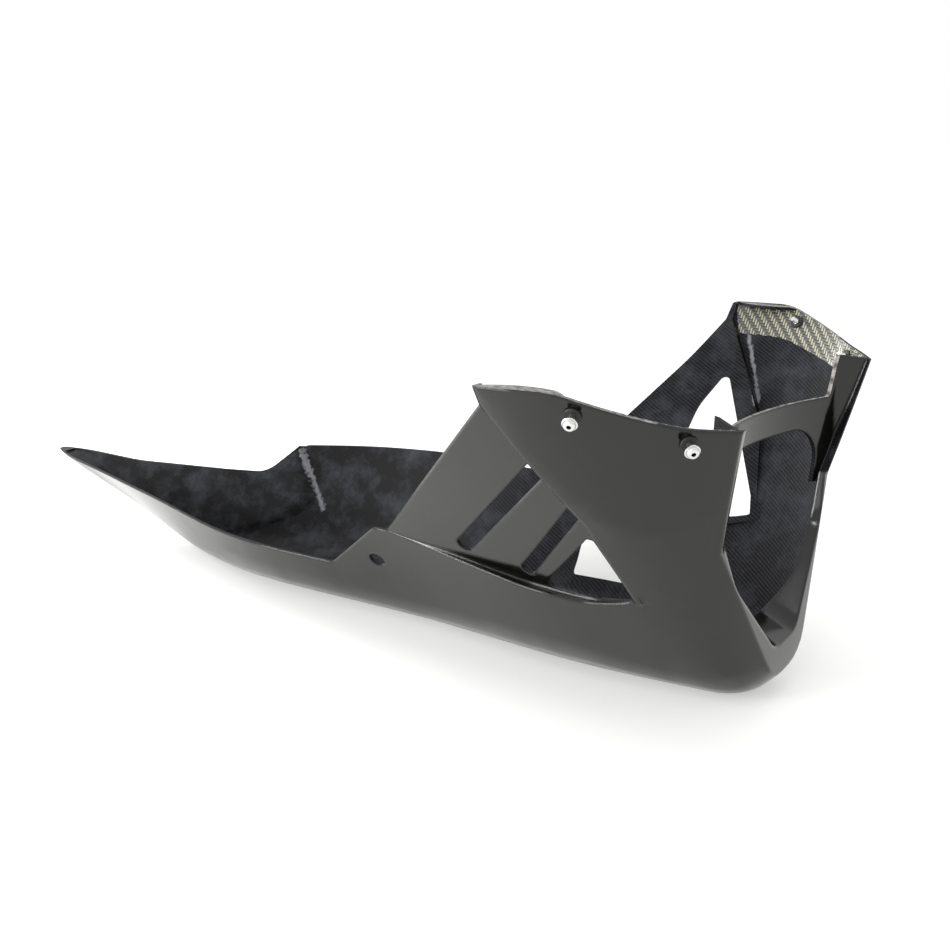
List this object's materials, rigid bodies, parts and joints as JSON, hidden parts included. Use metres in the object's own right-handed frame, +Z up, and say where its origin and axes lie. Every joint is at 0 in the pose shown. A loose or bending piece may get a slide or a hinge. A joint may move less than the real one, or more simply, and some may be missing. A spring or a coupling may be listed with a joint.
{
  "type": "lower fairing",
  "caption": "Motorcycle lower fairing: boat-tailed belly pan moulded in one piece, with a bridged front opening, side air slots and screw-fixed side panels.",
  "frame": {"origin": "on the ground under the middle of the part", "axes": "+X towards the front opening, +Y to the rider's left, +Z up"},
  "size_m": [0.865, 0.4608, 0.2748],
  "materials": {
    "moulded_laminate": "gloss black outside, bare carbon twill inside",
    "zinc_steel": "bright zinc plate",
    "black_rubber": "matt moulded",
    "hybrid_twill": "carbon and aramid twill under thin resin",
    "label_paper": "blank white"
  },
  "bodies": {
    "root": {"fairing_shell": "moulded_laminate", "fixing_screws": "zinc_steel", "rubber_grommets": "black_rubber", "right_ply": "hybrid_twill", "left_ply": "hybrid_twill", "blank_label": "label_paper"}
  },
  "joints": []
}
